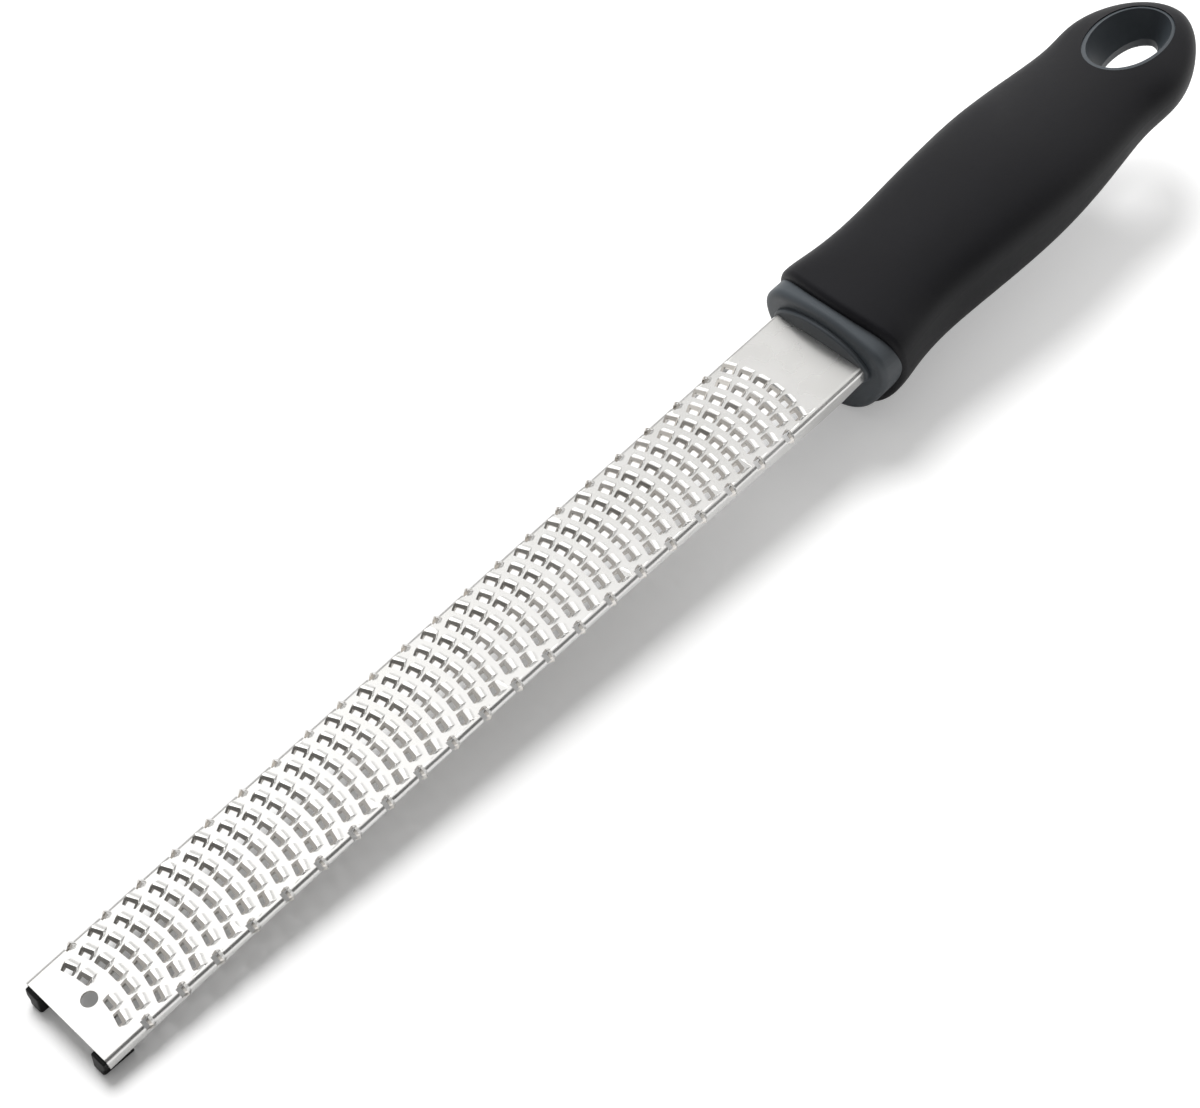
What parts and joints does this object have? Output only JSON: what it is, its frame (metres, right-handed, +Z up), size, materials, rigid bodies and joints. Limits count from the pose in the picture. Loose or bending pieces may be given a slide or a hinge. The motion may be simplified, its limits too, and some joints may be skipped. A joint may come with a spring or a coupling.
{
  "type": "rasp zester",
  "caption": "Long narrow kitchen rasp zester: bent stainless blade with raised square teeth, slate core handle with a black soft grip, hanging hole and rubber tip feet.",
  "frame": {"origin": "middle of the tool's length and width, on the table that its two feet and the lower front of its grip rest on", "axes": "+Y along the tool from the blade's tip to the handle's end, +Z up from the table, +X across the blade; the blade rises 4.1 degrees towards the handle"},
  "size_m": [0.0353, 0.3264, 0.036],
  "materials": {
    "blade_steel": "satin stainless sheet with bright cut edges",
    "core_plastic": "satin slate grey moulded plastic",
    "grip_rubber": "fine matt black soft-touch rubber",
    "foot_rubber": "plain black rubber"
  },
  "bodies": {
    "root": {"rasp_blade": "blade_steel", "handle_core": "core_plastic", "soft_grip": "grip_rubber", "foot_left": "foot_rubber", "foot_right": "foot_rubber"}
  },
  "joints": []
}
